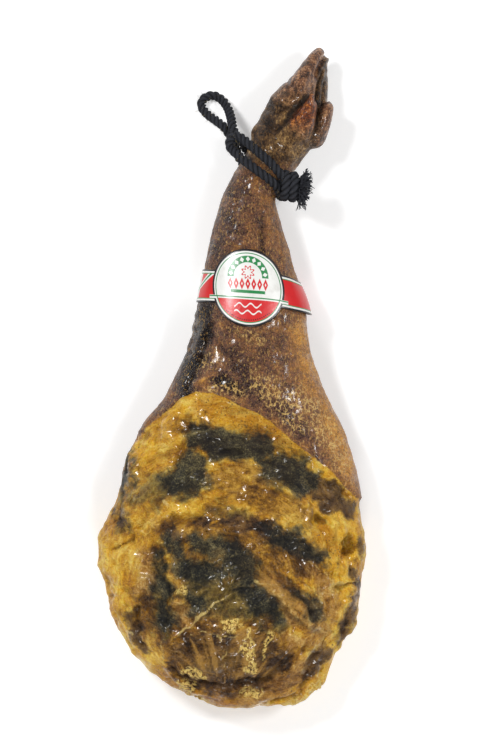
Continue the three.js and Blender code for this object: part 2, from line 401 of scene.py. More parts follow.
def laid_tube(path, diameter, around=42, start=0.0):
    """A laid rope along a path, as points and faces with a pattern for each point. Its section is
    the outline of three touching strands, part of the way to a plain circle, and it turns by a full
    circle in each lay. Each strand has ripples for its yarns, which run the other way. Both ends
    are closed with a small cone."""
    count = len(path)
    run = np.concatenate([[0], np.cumsum(np.linalg.norm(np.diff(path, axis=0), axis=1))])[:, None]
    angle = np.linspace(0, 2 * math.pi, around, endpoint=False)[None, :]
    turn = 2 * math.pi * run / ROPE_LAY + start
    third = 2 * math.pi / ROPE_STRANDS
    local = (angle + third / 2) % third - third / 2
    strand = 0.5 * diameter / (1 + 2 / math.sqrt(3))
    middle = 0.5 * diameter - strand
    outline = middle * np.cos(local) + np.sqrt(np.maximum(strand**2 - (middle * np.sin(local)) ** 2, 0))
    on_strand = np.arctan2(outline * np.sin(local), outline * np.cos(local) - middle)
    yarns = 0.03 * strand * np.cos(9 * on_strand + 2 * math.pi * run / YARN_LAY)
    groove = 0.42 * diameter / 2
    radius = 0.66 * np.maximum(outline, groove) + 0.34 * diameter / 2 + yarns
    first, second = frames_along(path)
    turned = angle + turn
    points = (
        path[:, None, :]
        + (radius * np.cos(turned))[..., None] * first[:, None, :]
        + (radius * np.sin(turned))[..., None] * second[:, None, :]
    )
    pattern = np.stack(np.broadcast_arrays(on_strand / math.pi, run / YARN_LAY), axis=-1)
    faces = grid_faces(count, around, wrap_columns=True).tolist()
    ends = [path[0] * 1.5 - path[1] * 0.5, path[-1] * 1.5 - path[-2] * 0.5]
    total, last = count * around, (count - 1) * around
    faces += [[(j + 1) % around, j, total] for j in range(around)]
    faces += [[last + j, last + (j + 1) % around, total + 1] for j in range(around)]
    points = np.vstack([points.reshape(-1, 3), ends])
    pattern = np.vstack([pattern.reshape(-1, 2), [[0, 0], [0, 0]]])
    return points, faces, pattern


def tubes(paths, radii, sides=5):
    """Many thin closed tubes at once, from an array of paths with the same number of points and a
    radius for each point. A tube's section is a regular polygon across its own path."""
    count, steps = paths.shape[:2]
    along = np.gradient(paths, axis=1)
    along /= np.maximum(np.linalg.norm(along, axis=2, keepdims=True), 1e-9)
    side = np.cross(along, np.array([0.31, 0.52, 0.79]))
    side /= np.linalg.norm(side, axis=2, keepdims=True)
    other = np.cross(along, side)
    angle = np.linspace(0, 2 * math.pi, sides, endpoint=False)
    ring = np.cos(angle)[:, None] * side[:, :, None, :] + np.sin(angle)[:, None] * other[:, :, None, :]
    points = paths[:, :, None, :] + radii[:, :, None, None] * ring
    faces = []
    one = grid_faces(steps, sides, wrap_columns=True)
    caps = [list(range(sides))[::-1], [(steps - 1) * sides + j for j in range(sides)]]
    for k in range(count):
        offset = k * steps * sides
        faces += (one + offset).tolist()
        faces += [[v + offset for v in cap] for cap in caps]
    return points.reshape(-1, 3), faces


def rope_material():
    """Black dyed fibre: matt, with painted highlights on the strands' crowns, painted shade in their
    grooves and a few dusty places. The pattern's first number is 0 along the crown of a strand and 1
    where it meets the next."""
    maker = Maker("black_rope")
    place = maker.place()
    pattern = maker.node("UVMap", {"uv_map": "pattern"}, {})
    off_crown = maker.node("SeparateXYZ", {}, {"Vector": pattern}, "X")
    crown = maker.step(1.0, 0.15, abs(off_crown))
    fibre = maker.grain(maker.scaled(pattern, (3, 9, 1)), 1000, 3)
    dust = maker.grain(place, 2.2, 3)
    # painted highlights on the strands' crowns and painted shade in the grooves between them
    colour = maker.blend(crown * fibre, paint(3, 3, 4), paint(64, 66, 74))
    colour = maker.blend(maker.step(0.66, 0.74, dust) * 0.5, colour, paint(105, 92, 60))
    height = fibre * 0.9 + maker.grain(place, 0.7, 2) * 0.5
    return maker.finish(Base_Color=colour, Roughness=0.82, Normal=maker.bump(height), Specular_IOR_Level=0.3)


def rope():
    """The free length of the rope, its knot, its frayed ends and its loose fibres."""
    material = rope_material()
    path = evenly(ROPE_ROUTE, ROPE_STEP)
    points, faces, pattern = laid_tube(path, ROPE_DIAMETER)
    mesh = mesh_of("rope", points, faces)
    add_uv(mesh, pattern)
    cord = piece("laid_rope", mesh, material, "black_rope", "rope")
    knot = rope_knot(material)
    tuft = rope_tuft(material)
    hairs = rope_hairs(path)


def knot_frame():
    """The knot's axis and two directions across it."""
    axis = KNOT_AXIS / np.linalg.norm(KNOT_AXIS)
    up = np.array([0.0, 0.0, 1.0])
    return axis, np.cross(up, axis), up


def rope_knot(material):
    """The knot: the rope's ends wound round themselves, as a helix round the knot's axis whose two
    ends turn in to the middle, over a core of the same rope that runs along the axis."""
    axis, across, up = knot_frame()
    share = np.linspace(0, 1, 60)[:, None]
    angle = 2 * math.pi * KNOT_TURNS * share - 0.6 * math.pi
    reach = KNOT_COIL * (1 - 0.55 * smooth(0.86, 1, share) - 0.35 * smooth(0.14, 0, share))
    lean = 1.2 * np.sin(angle + 0.6)
    along = axis * ((share - 0.5) * KNOT_LENGTH + lean)
    helix = KNOT_CENTRE + along + reach * (np.cos(angle) * across + np.sin(angle) * up)
    points, faces, pattern = laid_tube(evenly(helix, ROPE_STEP), ROPE_DIAMETER)
    run = axis * np.linspace(-9, 12, 20)[:, None]
    for offset, start in ((-2.6, 0.3), (2.8, 1.4)):
        core = KNOT_CENTRE + run + offset * (0.9 * across + 0.5 * up)
        more, more_faces, more_pattern = laid_tube(evenly(core, ROPE_STEP), ROPE_DIAMETER * 0.9, start=start)
        faces += [[v + len(points) for v in face] for face in more_faces]
        points, pattern = np.vstack([points, more]), np.vstack([pattern, more_pattern])
    mesh = mesh_of("rope_knot", points, faces)
    add_uv(mesh, pattern)
    return piece("overhand_knot", mesh, material, "black_rope", "rope_knot")


def rope_tuft(material):
    """The frayed ends: yarns that leave the knot side by side, fan out like a brush and curl."""
    axis, across, up = knot_frame()
    random = np.random.default_rng(7)
    count, steps = 440, 10
    share = np.linspace(0, 1, steps)[None, :, None]
    turn = random.uniform(0, 2 * math.pi, count)[:, None, None]
    root = 9 * np.sqrt(random.uniform(0, 1, count))[:, None, None]
    flare = (random.uniform(0, 1, count) ** 0.7)[:, None, None]
    out = np.cos(turn) * across + np.sin(turn) * up
    length = random.uniform(9, 15, count)[:, None, None]
    forward = length * share * (1 - 0.3 * flare * share)
    aside = root * (1 - 0.3 * share) + flare * 15 * share**1.3 * (length / 14)
    curl = random.uniform(-1, 1, (count, 1, 3)) * share**2 * 4.2
    wave = np.sin(share * 11 + random.uniform(0, 6, (count, 1, 3))) * 0.9 * share
    paths = KNOT_CENTRE + axis * (5.5 + forward) + out * aside + curl + wave
    radii = np.linspace(0.75, 0.4, steps) * random.uniform(0.7, 1.1, (count, 1))
    points, faces = tubes(paths, radii)
    mesh = mesh_of("rope_tuft", points, faces)
    add_uv(mesh, np.zeros((len(points), 2)))
    return piece("frayed_ends", mesh, material, "black_rope", "rope_tuft")


def rope_hairs(path):
    """Short loose fibres that stand off the rope, some of them pale with dust."""
    random = np.random.default_rng(11)
    count, steps = 420, 4
    first, second = frames_along(path)
    at = random.integers(4, len(path) - 4, count)
    turn = random.uniform(0, 2 * math.pi, count)[:, None]
    out = (np.cos(turn) * first[at] + np.sin(turn) * second[at])[:, None, :]
    lean = random.uniform(-1, 1, (count, 3))[:, None, :]
    share = np.linspace(0, 1, steps)[None, :, None]
    length = random.uniform(1.0, 3.2, count)[:, None, None]
    bent = lean * length * share**1.5 * 0.8
    paths = path[at][:, None, :] + out * (4.0 + length * share) + bent
    paths[:, :, 2] = np.maximum(paths[:, :, 2], 0.3)
    radii = np.broadcast_to(np.linspace(0.14, 0.07, steps), (count, steps))
    points, faces = tubes(paths, radii, 3)
    maker = Maker("dusty_fibre")
    tint = maker.step(0.42, 0.6, maker.grain(maker.place(), 9, 1))
    colour = maker.blend(tint, paint(24, 24, 26), paint(170, 150, 100))
    material = maker.finish(Base_Color=colour, Roughness=0.8)
    return piece("rope_fibres", mesh_of("rope_fibres", points, faces), material, "black_rope")


# ---------------------------------------------------------------- the ham's shape

# Each rib is a cross-section: [left x, left y, right x, right y, underside z, top z], in percent of
# the ham's box: lengths and widths from its middle, heights from the surface.
BODY_RIBS = [
    [2.3, -50, 2.3, -50, 42, 42],
    [-10, -49.2, 15.5, -49.5, 21, 61],
    [-20.5, -47.4, 27.8, -48.6, 6, 74],
    [-31.5, -44.4, 34.3, -46, -3, 83],
    [-39, -41, 37.6, -43.4, -8, 89],
    [-44.8, -37.1, 40.4, -40.6, -10, 93],
    [-47.8, -32.5, 46.8, -36.8, -11, 96.5],
    [-49.8, -26.5, 49.5, -30.6, -11, 99],
    [-47.8, -21.9, 49.8, -24.6, -11, 100],
    [-43.2, -17.1, 48.2, -18.5, -10, 100],
    [-40.5, -12.5, 45.8, -12.8, -9, 99],
    [-33.8, -7.7, 41.7, -7.7, -7, 97.5],
    [-25.6, -3.5, 36.4, -3.5, -4, 96],
    [-18.8, 1.9, 31.1, 1.9, 0, 93],
    [-15.4, 6.3, 28.4, 6.3, 3, 90],
    [-12.8, 11.6, 27, 11.6, 7, 86.5],
    [-9.8, 17.6, 22.5, 17.6, 11.5, 81.5],
    [-6.7, 23, 18.8, 22.7, 15, 76.5],
    [-3.4, 27.4, 16.1, 26.2, 17.5, 72],
    [0.4, 30.6, 16.9, 27.9, 17.5, 70.5],
    [4.5, 33.1, 19.9, 29.5, 17.5, 70],
    [6.7, 35.2, 24.8, 31.8, 16.5, 72],
    [8.6, 37.5, 29.2, 34.2, 15.5, 74],
    [11.6, 39.9, 31.9, 36.4, 15.5, 73],
    [14.6, 42.2, 32.6, 39, 16.5, 68],
    [18.5, 43.2, 31, 41.2, 22, 60],
    [25.5, 42.6, 25.5, 42.6, 41.5, 41.5],
]
NEAR_CLAW = [
    [21.5, 39.3, 21.5, 39.3, 49, 49],
    [13.9, 41.3, 27.4, 39, 33, 70],
    [16.1, 42.9, 29.3, 41, 31.5, 71],
    [21.8, 45, 30.4, 43.5, 31.5, 68],
    [26.3, 47.3, 31.5, 46.1, 30.5, 60],
    [30, 49.2, 34.2, 48.4, 29.5, 49],
    [31.9, 49.9, 34.9, 49.3, 29.5, 41.5],
    [33.4, 50, 33.4, 50, 35, 35],
]
FAR_CLAW = [
    [27.8, 39, 27.8, 39, 33, 33],
    [22.2, 40.5, 34.2, 39.9, 14, 51],
    [25.2, 42.3, 36, 41.7, 12, 50],
    [28.2, 44.7, 36.4, 44.3, 12, 47],
    [31.2, 47, 36.2, 46.7, 12, 40.5],
    [33, 48.5, 35.9, 48.4, 14, 33],
    [34.9, 49.2, 34.9, 49.2, 23, 23],
]
NEAR_DEWCLAW = [
    [22.9, 35.4, 22.9, 35.4, 56, 56],
    [18.8, 37.7, 28.2, 34.9, 47, 74],
    [22.2, 39.2, 30.8, 37.5, 49, 81],
    [25.5, 40.4, 31.7, 39.6, 53.5, 81],
    [28.2, 41.5, 31.7, 41.1, 58, 76.5],
    [30.2, 42.1, 30.2, 42.1, 66.5, 66.5],
]
FAR_DEWCLAW = [
    [28.9, 34.2, 28.9, 34.2, 43.5, 43.5],
    [26.7, 36.3, 33.8, 34.8, 33, 60],
    [30.4, 38.1, 36.4, 37, 33, 60],
    [32.3, 40.1, 37.9, 39.5, 35, 60],
    [34.2, 41.1, 38.1, 40.8, 38, 56],
    [36.8, 41.7, 36.8, 41.7, 47, 47],
]
BODY_SQUARENESS = 2.12  # 2 is an ellipse, and more fills the section's corners
SKIN_VOXEL = 1.85  # millimetres between the grown skin's points
FOOT_START = 205  # how far up the ham the foot begins, in millimetres

SASH_Y = 85.7  # of the sash's band where it passes the middle of the round front
SASH_SLOPE = -0.07  # the band runs a little downhill towards the right
SASH_HALF_HEIGHT = 16
MEDAL_X = 15.7
MEDAL_HALF_HEIGHT = 37.7
MEDAL_HALF_LENGTH = 35  # along the paper

# The line where the skin ends on the cut face, from the left rim to the right.
SKIN_EDGE = [
    (-130, -66), (-90, -57), (-77, -44), (-61, -33), (-46, -19), (-35, -15), (-18, -16), (-4, -21),
    (9, -29), (24, -35), (37, -43), (48, -53), (61, -64), (76, -75), (92, -88), (105, -101),
    (118, -116), (135, -130),
]

# Brush strokes of the cut face's finishes: points along each, with the brush's radius there.
MEAT = [
    [(-26, -96, 4), (8, -108, 12), (50, -122, 12), (72, -136, 7)],
    [(-6, -90, 5), (16, -88, 9), (32, -98, 7)],
    [(-66, -146, 10), (-20, -152, 18), (40, -160, 22), (84, -184, 12)],
    [(-74, -166, 6), (-80, -200, 12), (-76, -232, 14), (-58, -262, 12)],
    [(-40, -186, 28), (10, -200, 36), (48, -208, 18)],
    [(-36, -240, 24), (0, -250, 38), (30, -254, 28)],
    [(-40, -280, 22), (0, -288, 26), (50, -280, 20)],
]
MOULD = [
    [(-31, -59, 11), (-18, -67, 14), (4, -67, 13.5), (26, -66, 11), (38, -71, 7)],
    [(32, -82, 7), (46, -86, 14), (62, -94, 14), (74, -101, 10)],
    [(-34, -84, 11), (-40, -95, 17), (-50, -101, 14), (-64, -104, 7)],
    [(-102, -81, 4), (-104, -96, 5), (-108, -110, 3)],
    [(-56, -158, 6), (-54, -166, 8)],
    [(-30, -160, 8), (-9, -165, 11), (6, -174, 12), (15, -190, 9)],
    [(43, -151, 6), (61, -158, 9), (78, -170, 7), (90, -178, 3)],
    [(10, -206, 6), (24, -212, 11), (42, -231, 6)],
    [(-48, -184, 7), (-30, -188, 10), (-12, -186, 8)],
    [(-42, -210, 5), (-36, -216, 7)],
    [(66, -211, 5), (75, -220, 7), (83, -229, 5)],
    [(-68, -178, 4), (-71, -196, 6), (-66, -214, 7), (-63, -238, 4)],
]
OLIVE = [
    [(-90, -116, 10), (-74, -110, 14), (-52, -104, 16)],
    [(-22, -127, 5), (-4, -131, 6), (12, -137, 5)],
    [(-48, -186, 9), (-30, -200, 18), (-4, -214, 22), (26, -216, 18), (50, -238, 9)],
    [(-68, -174, 6), (-74, -196, 10), (-68, -216, 11), (-63, -246, 6)],
    [(-104, -92, 5), (-108, -120, 7), (-104, -142, 6)],
    [(111, -240, 7), (108, -254, 6)],
]
UMBER = [
    [(68, -98, 6), (84, -108, 12), (100, -119, 13), (115, -128, 9)],
    [(-34, -138, 4), (-8, -140, 6), (18, -143, 6), (38, -150, 4)],
    [(-68, -144, 3), (-52, -152, 5), (-40, -158, 4)],
    [(-86, -221, 3), (-97, -235, 6), (-92, -247, 7), (-87, -262, 4)],
    [(86, -266, 8), (78, -281, 9), (70, -297, 4)],
    [(117, -188, 3), (123, -204, 4), (120, -221, 4), (111, -241, 6), (109, -254, 5)],
    [(124, -160, 1.5), (121, -180, 2)],
    [(-110, -128, 4), (-107, -138, 5)],
    [(-63, -51, 2), (-52, -49, 4), (-42, -50, 4)],
    [(-76, -200, 2), (-84, -222, 3)],
    [(-58, -280, 5), (-40, -296, 6), (-12, -302, 6), (16, -296, 5), (38, -286, 5), (54, -276, 4)],
    # painted shadow: a dark brown strip along the lower edge of the mould band above it
    [(40, -152, 3), (66, -172, 5), (84, -186, 3)],
]
TAN = [
    [(76, -184, 6), (88, -196, 8), (95, -214, 8), (98, -232, 6)],
    [(36, -196, 7), (54, -212, 12), (72, -232, 12), (88, -250, 8)],
    [(60, -254, 8), (84, -258, 5)],
    [(14, -316, 7), (40, -304, 12), (58, -292, 10), (72, -276, 6)],
    [(-50, -222, 7), (-46, -236, 6)],
    [(-84, -172, 6), (-86, -200, 7)],
]
AMBER = [
    [(-119, -168, 8), (-116, -205, 13), (-108, -238, 12), (-94, -270, 11), (-70, -298, 10), (-44, -316, 8)],
    [(-58, -30, 8), (-74, -56, 12), (-86, -78, 11)],
    [(92, -236, 5), (100, -252, 6)],
    [(84, -138, 12), (102, -150, 14), (108, -170, 15), (108, -190, 13), (110, -214, 9)],
    [(40, -58, 5), (70, -80, 6), (100, -104, 5), (122, -128, 4)],
    [(96, -256, 8), (102, -270, 7), (92, -290, 7)],
    [(-34, -32, 12), (0, -38, 11), (24, -50, 7), (44, -62, 4)],
    [(-56, -128, 6), (-34, -126, 6)],
    [(-58, -236, 4), (-54, -226, 6)],
    [(-34, -322, 5), (8, -325, 4), (50, -324, 4), (84, -308, 5)],
    [(-26, -97, 4), (-10, -100, 5), (4, -106, 3)],
]
PALE = [
    [(-56, -255, 1.4), (-40, -241, 0.8), (-26, -226, 1.6), (-18, -219, 0.9), (0, -207, 0.5)],
    [(-62, -121, 1.4), (-58, -125, 0.8)],
    [(-53, -130, 0.5), (-40, -136, 0.8), (-30, -131, 0.5)],
    [(97, -201, 0.9), (110, -202, 0.9), (121, -200, 0.8)],
    [(78, -181, 0.5), (90, -187, 0.9), (97, -200, 0.9), (99, -218, 0.5)],
    [(24, -194, 1.2), (36, -199, 0.8), (46, -208, 0.5)],
    [(-66, -250, 0.5), (-64, -274, 0.9)],
    [(-114, -230, 0.8), (-102, -244, 0.8), (-93, -250, 0.5)],
    [(-36, -247, 0.4), (-6, -249, 0.4), (12, -246, 0.5)],
    [(-10, -250, 0.3), (-5, -266, 0.3), (-3, -282, 0.3)],
]
PITS = [
    [(-28, -30, 10), (-8, -32, 11), (12, -42, 10), (34, -54, 9), (56, -70, 6)],
    [(-70, -288, 8), (-40, -312, 8), (0, -318, 5)],
    [(84, -150, 7), (104, -166, 7)],
]
FLAKES = [
    [(-52, -206, 3), (-47, -202, 4)],
    [(14, -245, 4), (13, -260, 8), (17, -278, 6)],
    [(38, -244, 3), (34, -256, 4), (31, -268, 2)],
    [(-44, -284, 6), (-30, -288, 5)],
    [(-54, -294, 4), (-42, -300, 4)],
    [(-4, -240, 4), (5, -238, 4)],
    [(-53, -303, 3), (-42, -312, 4), (-30, -318, 3)],
    [(52, -324, 3), (72, -314, 5), (90, -300, 5)],
    [(10, -306, 3), (26, -302, 3)],
]
PAD_MIDDLE, PAD_REACH = (0, -272), (56, 29)  # the oval end of a muscle near the butt

FACE_MIDDLE = (-5, -205)  # the cut face's layers run round this place
LAYER_TURN = 24  # millimetres of noise for each radian round that place

# Ridges and grooves of the cut face: height, width and route of each. A groove's height is negative.
FACE_FORMS = [
    (3.2, 4, [(39, -94), (57, -116), (70, -125), (74, -142), (83, -160), (96, -182)]),
    (-3.8, 3.6, [(-58, -283), (-36, -299), (-10, -302), (17, -296), (37, -287), (56, -275)]),
    (-2.6, 2.2, [(-98, -156), (-110, -163), (-122, -169)]),
    (2.6, 4, [(-104, -134), (-96, -146), (-88, -150)]),
    (2.4, 2.4, [(-56, -255), (-40, -241), (-26, -226), (-18, -219), (0, -207)]),
    (3, 8, [(-46, -24), (-56, -36), (-64, -58)]),
    (-2, 4, [(-40, -40), (-50, -66), (-56, -84)]),
    (4, 6, [(-52, -127), (-36, -127)]),
    (-2.6, 2.6, [(-58, -134), (-42, -138), (-28, -134)]),
    (-6.5, 4, [(84, -137), (88, -142)]),
    (-6.5, 4.6, [(110, -157), (113, -166)]),
    (3.4, 2.6, [(93, -134), (98, -142), (94, -152)]),
    (3, 2.4, [(104, -148), (104.5, -162)]),
    (-2.2, 1.6, [(97, -203), (110, -204), (122, -202)]),
    (1.4, 2, [(97, -199), (110, -200), (122, -198)]),
    (2.6, 3.4, [(-49, -201), (-46, -206)]),
    (2.4, 5, [(56, -322), (74, -312), (90, -298)]),
    (-2.2, 2.2, [(40, -318), (62, -308), (76, -300)]),
    (-2.6, 1.6, [(-23, -36), (-23.5, -36.5)]),
    (-2.6, 1.6, [(9.5, -86), (10, -86)]),
    (-2, 1.2, [(22.5, -236), (23, -236)]),
    (-2.2, 2.4, [(-22, -150), (4, -152), (20, -168), (26, -190)]),
    (-2, 2.2, [(-70, -168), (-66, -190), (-60, -222), (-62, -248)]),
    (-2.4, 3, [(-84, -206), (-92, -228), (-86, -258)]),
    (2.2, 3.4, [(30, -196), (52, -212), (76, -236)]),
    (-1.8, 2.2, [(46, -196), (70, -216), (84, -236)]),
    (1.8, 2.2, [(80, -182), (92, -190), (98, -204), (99, -218)]),
    (-2, 3, [(94, -216), (104, -236), (110, -250)]),
    (-2.4, 5, [(80, -272), (72, -288)]),
]

# Soft changes of the skin's tone, two of them painted shade and light on its forms: how much lighter, over
# how many millimetres, and where.
SKIN_TONES = [
    (-0.16, 14, [(0, 186, 8), (-6, 150, 10), (-14, 112, 12)]),
    (0.14, 12, [(44, 170, 6), (52, 130, 8), (62, 96, 8)]),
    (-0.46, 9, [(-28, 64, 9), (-36, 20, 11), (-44, -14, 8)]),
    (-0.3, 7, [(-56, -34, 3), (-76, -56, 4), (-96, -80, 4)]),
    # lighter on the ridge below the round front: partly its orange-brown colour, partly a painted highlight
    (0.3, 5, [(-10, 50, 2.5)]),
    (-0.42, 5, [(-18, -2, 4), (-6, -6, 7), (6, -14, 4)]),
    (0.4, 2.5, [(-35, -8, 1.5), (-15, 2, 1.5)]),
    (-0.16, 10, [(-2, 26, 10), (12, 6, 12)]),
    (0.5, 22, [(118, -84, 14), (104, -36, 16), (86, 8, 13), (70, 44, 8)]),
    (0.12, 12, [(80, -44, 8), (100, -80, 8), (120, -108, 8)]),
    (-0.14, 10, [(20, -14, 8), (52, -36, 10), (78, -62, 6)]),
    # darker along the groove down the shank: painted shade in the groove
    (-0.34, 4, [(31, 158, 0.5), (29, 138, 1.5), (30, 121, 2.5)]),
]
# Brush strokes where curled hairs lie on the skin.
CURLS = [
    [(9, 44, 2), (18, 38, 4), (28, 32, 3)],
    [(22, -4, 6), (36, -14, 9), (52, -28, 10), (64, -44, 8)],
    [(-14, 20, 3), (-30, 8, 3)],
    [(-22, -12, 3), (6, -16, 5)],
    [(66, -16, 6), (86, -46, 9), (104, -82, 8)],
]
# Ridges and grooves of the skin, of the foot's hide and of the claws, given as on the cut face.
SKIN_FORMS = [
    (-1.8, 3.4, [(31, 158), (29, 138), (30, 121)]),
    (1.8, 2.8, [(-35, -8), (-15, 2)]),
    (-1.4, 2.2, [(-33, -13), (-12, -4)]),
    (1.6, 5, [(-10, 50), (-9, 44)]),
    (-2.2, 2.6, [(-20, 52), (-27, 36), (-34, 8), (-44, -12)]),
    (-1.6, 2.2, [(-38, 44), (-28, 46), (-20, 40)]),
    (-1.6, 2.2, [(-44, 24), (-34, 22), (-24, 16)]),
    (-1.2, 3, [(-12, 30), (4, 14), (8, -6)]),
]
FOOT_FORMS = [
    (3.4, 8, [(25, 239), (28, 236)]),
    (-3.4, 5, [(38, 246), (42, 240)]),
    (2.4, 5, [(42, 262), (50, 268)]),
    (-1.8, 2.4, [(34, 262), (44, 256), (54, 262)]),
    (2.6, 5, [(52, 238), (60, 248), (68, 257)]),
    (-1.6, 3.4, [(34, 247), (40, 236), (44, 226)]),
    (1.6, 6, [(58, 213), (52, 208)]),
    (3, 7, [(66, 236), (58, 226), (50, 216)]),
    (-1.4, 2.2, [(74, 238), (70, 226)]),
]
CLAW_FORMS = [
    (2.8, 1.9, [(77, 266), (80, 285), (86, 302), (93, 313)]),
    (-2.4, 1.7, [(80.5, 266), (83.5, 285), (89, 300)]),
    (-2.2, 1.6, [(54, 289), (59, 283)]),
    (1.4, 2, [(66, 276), (74, 294), (83, 308)]),
    (-1.8, 1.6, [(88, 268), (90, 286), (94, 300)]),
    (1.8, 2.2, [(66, 246), (72, 258), (78, 270)]),
]

# The crease along the edge of the foot's pad, as a brush stroke.
PAD_CREASE = [(44, 239, 0), (48, 243, 0.2), (56, 253, 0.6), (64, 261, 0.8), (73, 270, 0.8)]


def rib_curves(ribs, shares):
    """The two curves that carry a set of ribs, at shares of the way along them, in millimetres: one
    through the ribs' left ends and undersides, and one through their right ends and tops."""
    low, high = (np.array(corner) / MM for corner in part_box("ham"))
    middle, size = (low + high) / 2, high - low
    left_x, left_y, right_x, right_y, under, top = (np.array(ribs, float) / 100).T
    left = [middle[0] + left_x * size[0], middle[1] + left_y * size[1], low[2] + under * size[2]]
    right = [middle[0] + right_x * size[0], middle[1] + right_y * size[1], low[2] + top * size[2]]
    return spline(np.stack(left, axis=1), shares), spline(np.stack(right, axis=1), shares)


def round_ribs(left, right, angle, squareness):
    """Points of the sections between two curves, at an angle round each, 0 at the right and a
    quarter turn at the top. A section is a superellipse: across and up are the cosine and sine of
    the angle, each to the power of 2 over the squareness."""
    across, up = (np.sign(wave) * np.abs(wave) ** (2 / squareness) for wave in (np.cos(angle), np.sin(angle)))
    return (left + right) / 2 + (right - left) / 2 * np.stack([across, across, up], axis=-1)


def ribbed_shell(ribs, along, around, squareness=2.0):
    """A closed skin over ribs, as a grid of points."""
    left, right = rib_curves(ribs, np.linspace(0, 1, along + 1))
    angle = np.linspace(0, 2 * math.pi, around, endpoint=False)[None, :]
    return round_ribs(left[:, None, :], right[:, None, :], angle, squareness)


def grown_together(shells, voxel):
    """One closed skin round several overlapping closed shells, with points about a voxel apart."""
    points, faces, offset = [], [], 0
    for shell in shells:
        rows, columns = shell.shape[:2]
        points.append(shell.reshape(-1, 3))
        faces.append(grid_faces(rows, columns, wrap_columns=True) + offset)
        offset += rows * columns
    mesh = mesh_of("shells", np.vstack(points), np.vstack(faces).tolist())
    thing = bpy.data.objects.new("shells", mesh)
    bpy.context.scene.collection.objects.link(thing)
    remesh = thing.modifiers.new("grown", "REMESH")
    remesh.mode = "VOXEL"
    remesh.voxel_size = voxel * MM
    rounded = thing.modifiers.new("rounded", "SMOOTH")
    rounded.factor, rounded.iterations = 0.5, 5
    bpy.context.view_layer.update()
    result = bpy.data.meshes.new_from_object(thing.evaluated_get(bpy.context.evaluated_depsgraph_get()))
    bpy.data.objects.remove(thing)
    bpy.data.meshes.remove(mesh)
    return result


def points_of(mesh, what="vertices", key="co"):
    """A mesh's points, or another three numbers for each of them, as an array."""
    values = np.empty(len(mesh.vertices) * 3, np.float32)
    getattr(mesh, what).foreach_get(key, values)
    return values.reshape(-1, 3).astype(float)


def distance_to(points, shell):
    """How far each point is from the nearest point of a shell. The square of the distance from a
    to b is the square of a, plus the square of b, less twice their product."""
    cloud = shell.reshape(-1, 3)
    squares = [
        np.min((part**2).sum(axis=1)[:, None] + (cloud**2).sum(axis=1) - 2 * part @ cloud.T, axis=1)
        for part in np.array_split(points, len(points) // 1500 + 1)
    ]
    return np.sqrt(np.maximum(np.concatenate(squares), 0))


def skin_inside(points, normals):
    """How far a point is on the skin's side of the skin's edge, in millimetres. On the cut face the
    edge is SKIN_EDGE. Below the rim it falls back towards the butt, so the outer side keeps more."""
    edge = np.array(SKIN_EDGE, float)
    face = points[:, 1] - np.interp(points[:, 0], edge[:, 0], edge[:, 1])
    slope = np.gradient(edge[:, 1], edge[:, 0])
    face = face / np.sqrt(1 + np.interp(points[:, 0], edge[:, 0], slope) ** 2)
    under = points[:, 1] + 190 - 0.0035 * (points[:, 0] - 5) ** 2
    share = smooth(-0.15, -0.75, normals[:, 2])
    return face * (1 - share) + under * share


def skin_tone(plan, upward):
    """The skin's tone: 0 is nearly black, 1 is golden, and 0.5 is plain brown."""
    tone = np.full(len(plan), 0.5)
    for change, soft, route in SKIN_TONES:
        tone += change * upward * smooth(-soft, soft, stroke(plan, route))
    return tone


def muscle_streaks(points):
    """The grain of the meat, from -1 to 1: fans in the pad from a point below it, and runs aslant
    in the muscle to the right of the middle."""
    plan, depth = points[:, :2], points[:, 2] / 40
    fan = plan - (-4, -322)
    angle, reach = np.arctan2(fan[:, 0], fan[:, 1]), np.linalg.norm(fan, axis=1)
    padded = smooth(1.15, 0.8, np.linalg.norm((plan - PAD_MIDDLE) / PAD_REACH, axis=1))
    fanned = noise(np.stack([angle * 23, reach / 26, depth], axis=1), 20)
    slope, across = plan @ (0.78, -0.62) / 24, plan @ (0.62, 0.78) / 3.6
    slanted = noise(np.stack([slope, across, depth], axis=1), 21)
    aslant = smooth(-8, 6, stroke(plan, [(34, -196, 14), (60, -212, 20), (92, -240, 12)]))
    return padded * fanned + aslant * slanted


def face_layers(points):
    """The layers of the cut face, from -1 to 1: streaks that run round its middle."""
    out = points[:, :2] - FACE_MIDDLE
    reach = np.linalg.norm(out, axis=1)
    around = out / reach[:, None] * LAYER_TURN
    drawn = np.column_stack([around, reach + 7 * noise(points / 32, 27) + points[:, 2] * 0.3])
    return layers(drawn, 8, 3, 28)


def claw_fields(points):
    """How far each point is inside each sort of horn, in millimetres, and how deep in a crease of
    the foot, from 0 to 1. A point belongs to the part whose shell is the nearest, and is in a
    crease where the second nearest is near too, or on top of the foot along the edge of its pad."""
    foot = points[:, 1] > FOOT_START
    body = ribbed_shell(BODY_RIBS, 320, 200, BODY_SQUARENESS)
    body = body[body[..., 1] > FOOT_START - 12]
    parts = [body] + [ribbed_shell(ribs, 80, 90) for ribs in (NEAR_CLAW, FAR_CLAW, NEAR_DEWCLAW, FAR_DEWCLAW)]
    away = np.full((len(parts), len(points)), 30.0)
    away[0] = 0  # off the foot, every point is the body's
    away[:, foot] = np.minimum([distance_to(points[foot], part) for part in parts], 30)
    second = np.sort(away, axis=0)[1]
    between = np.exp(-((second / 1.5) ** 2)) * foot * (0.3 + 0.7 * smooth(238, 252, points[:, 1]))
    pad_edge = np.exp(-((np.minimum(stroke(wandering(points), PAD_CREASE), 0) / 1.7) ** 2))
    apart = [np.min(np.delete(away, k, axis=0), axis=0) - away[k] for k in range(len(parts))]
    return {
        "horn": away[0] - away[1:].min(axis=0),
        "amber_horn": apart[3],
        "dark_horn": apart[2],
        "crease": np.maximum(between, pad_edge * (points[:, 2] > 40)),
    }


